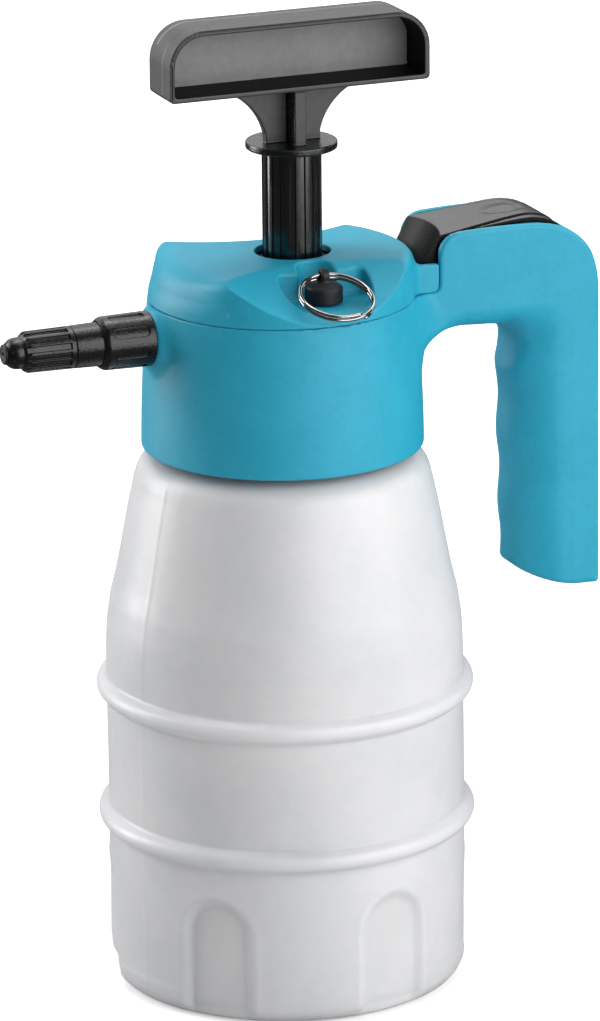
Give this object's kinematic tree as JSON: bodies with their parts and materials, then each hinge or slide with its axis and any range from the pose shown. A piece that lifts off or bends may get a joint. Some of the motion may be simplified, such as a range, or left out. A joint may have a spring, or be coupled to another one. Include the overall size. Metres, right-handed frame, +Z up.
{
  "type": "pump sprayer",
  "caption": "Hand-held pressure pump sprayer: round waisted tank, screw-on head with pistol grip, T-handle pump, thumb trigger, adjustable nozzle and pull-ring relief valve.",
  "frame": {"origin": "centre of the plane the tank stands on, on the tank's axis", "axes": "+Z up along the tank's axis, +X from the nozzle toward the pistol grip, relief valve on the -Y side"},
  "size_m": [0.1797, 0.1106, 0.2879],
  "materials": {
    "tank_hdpe": "satin, translucent natural",
    "body_blue": "fine grained",
    "plastic_white": "as moulded",
    "plastic_black": "as moulded",
    "plastic_black_grain": "spark grained",
    "rod_gloss_black": "polished",
    "trigger_black": "semi-gloss",
    "rubber_black": "matt",
    "brass_stem": "turned",
    "spring_steel": "drawn wire",
    "ring_steel": "polished",
    "hose_pvc": "smooth"
  },
  "bodies": {
    "tank": {"tank": "tank_hdpe"},
    "neck_ring": {"neck_seal": "rubber_black"},
    "head": {"head_body": "body_blue", "top_cover": "body_blue", "pump_cylinder": "plastic_white", "pump_guide": "plastic_black", "valve_body": "plastic_white", "valve_plug": "plastic_white", "gland_seal": "rubber_black", "valve_spring": "spring_steel", "dip_tube": "plastic_white", "dip_filter": "plastic_white", "outlet_hose": "hose_pvc", "nozzle_pipe": "plastic_black_grain", "pipe_seal": "rubber_black", "nozzle_o_ring": "rubber_black", "trigger_pin": "spring_steel", "trigger_spring": "spring_steel", "relief_retainer": "plastic_white", "relief_spring": "spring_steel"},
    "check_valve": {"check_valve": "rubber_black"},
    "piston": {"piston": "plastic_white", "piston_seal": "rubber_black"},
    "pump_handle": {"pump_rod": "rod_gloss_black", "t_handle": "plastic_black_grain"},
    "trigger": {"trigger_lever": "trigger_black"},
    "valve_stem": {"valve_stem": "brass_stem", "poppet_seal": "rubber_black"},
    "swirl": {"swirl_core": "plastic_white"},
    "nozzle": {"nozzle_cap": "plastic_black_grain", "nozzle_tip": "plastic_black_grain"},
    "union_nut": {"union_nut": "plastic_black_grain"},
    "relief": {"relief_seal": "rubber_black", "relief_stem": "plastic_white", "relief_knob": "rubber_black"},
    "pull_ring": {"pull_ring": "ring_steel"}
  },
  "joints": [
    {"name": "head_lift", "type": "slide", "parent": "tank", "child": "neck_ring", "axis": [0, 0, 1], "range_m": [0, 0.0091]},
    {"name": "head_turn", "type": "hinge", "parent": "neck_ring", "child": "head", "pos_m": [0, 0, 0.18], "axis": [0, 0, 1], "range_deg": [0, 540]},
    {"name": "pump_stroke", "type": "slide", "parent": "head", "child": "piston", "axis": [0, 0, 1], "range_m": [-0.03, 0.06]},
    {"name": "pump_turn", "type": "hinge", "parent": "piston", "child": "pump_handle", "pos_m": [0.0036, 0, 0.25], "axis": [0, 0, 1], "continuous": true},
    {"name": "trigger_press", "type": "hinge", "parent": "head", "child": "trigger", "pos_m": [0.05, 0, 0.214], "axis": [0, 1, 0], "range_deg": [0, 7.5], "deforming": ["trigger_spring"]},
    {"name": "valve_stem_slide", "type": "slide", "parent": "head", "child": "valve_stem", "axis": [1, 0, 0], "range_m": [-0.0019, 0], "deforming": ["valve_spring"]},
    {"name": "nozzle_advance", "type": "slide", "parent": "head", "child": "swirl", "axis": [-1, 0, 0], "range_m": [0, 0.002]},
    {"name": "nozzle_turn", "type": "hinge", "parent": "swirl", "child": "nozzle", "pos_m": [-0.07, 0, 0.1973], "axis": [-1, 0, 0], "range_deg": [0, 360]},
    {"name": "nut_turn", "type": "hinge", "parent": "head", "child": "union_nut", "pos_m": [-0.05, 0, 0.1973], "axis": [-1, 0, 0], "range_deg": [0, 90]},
    {"name": "relief_lift", "type": "slide", "parent": "head", "child": "relief", "axis": [0, 0, 1], "range_m": [0, 0.003], "deforming": ["relief_spring"]},
    {"name": "ring_flip", "type": "hinge", "parent": "relief", "child": "pull_ring", "pos_m": [0.0036, -0.024, 0.2168], "axis": [-1, 0, 0], "range_deg": [0, 90]},
    {"name": "check_valve_open", "type": "slide", "parent": "head", "child": "check_valve", "axis": [0, 0, -1], "range_m": [0, 0.0008]}
  ],
  "couplings": [
    {"joint": "head_lift", "follows": "head_turn", "m_per_rad": 0.00095493},
    {"joint": "valve_stem_slide", "follows": "trigger_press", "m_per_rad": -0.014},
    {"joint": "nozzle_turn", "follows": "nozzle_advance", "rad_per_m": 3141.6}
  ]
}
